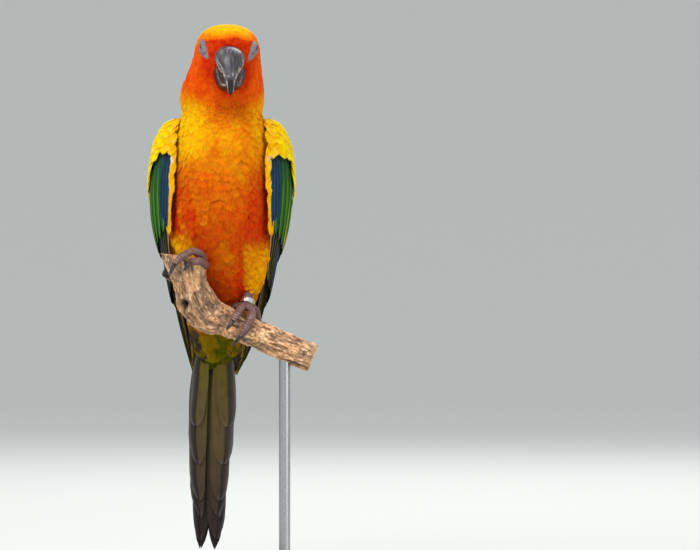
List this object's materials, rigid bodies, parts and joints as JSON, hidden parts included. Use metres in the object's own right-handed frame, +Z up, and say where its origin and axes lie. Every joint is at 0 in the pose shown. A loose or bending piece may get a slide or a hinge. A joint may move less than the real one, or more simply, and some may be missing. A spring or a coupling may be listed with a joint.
{
  "type": "parrot model",
  "caption": "life-size still model of a sleeping parrot with yellow and orange plumage on a cut branch, on a plain display stand",
  "frame": {"origin": "the centre of the base's underside, where the model rests", "axes": "+Z up; -Y is the way the bird faces; its left side is at +X"},
  "size_m": [0.124, 0.124, 0.2957],
  "materials": {
    "yellow": "soft yellow body feathers",
    "orange": "soft orange body feathers",
    "green": "closed wing feathers, green with yellow and dark blue",
    "olive": "long tail feathers, grey-olive below",
    "lids": "bare finely wrinkled grey skin",
    "eye": "wet dark eye",
    "horn": "dark grey horn with pale flaking edges",
    "cere": "bare grey skin",
    "foot": "scaly purplish-brown skin",
    "metal": "worn bright metal",
    "bark": "dry pale bark with grey flecks",
    "steel": "brushed",
    "stand_wood": "dark stained, satin"
  },
  "bodies": {
    "root": {"head": "yellow", "cere": "cere", "bill_upper": "horn", "bill_lower": "horn", "eye_left": "eye", "eye_right": "eye", "eyelids_left": "lids", "eyelids_right": "lids", "neck": "yellow", "torso": "orange", "tail": "olive", "wing_left": "green", "wing_right": "green", "thigh_left": "yellow", "thigh_right": "yellow", "foot_left": "foot", "foot_right": "foot", "claw_left_1": "horn", "claw_left_2": "horn", "claw_left_3": "horn", "claw_left_4": "horn", "claw_right_1": "horn", "claw_right_2": "horn", "claw_right_3": "horn", "claw_right_4": "horn", "leg_ring": "metal", "perch": "bark", "stand_base": "stand_wood", "stand_rod": "steel"}
  },
  "joints": []
}
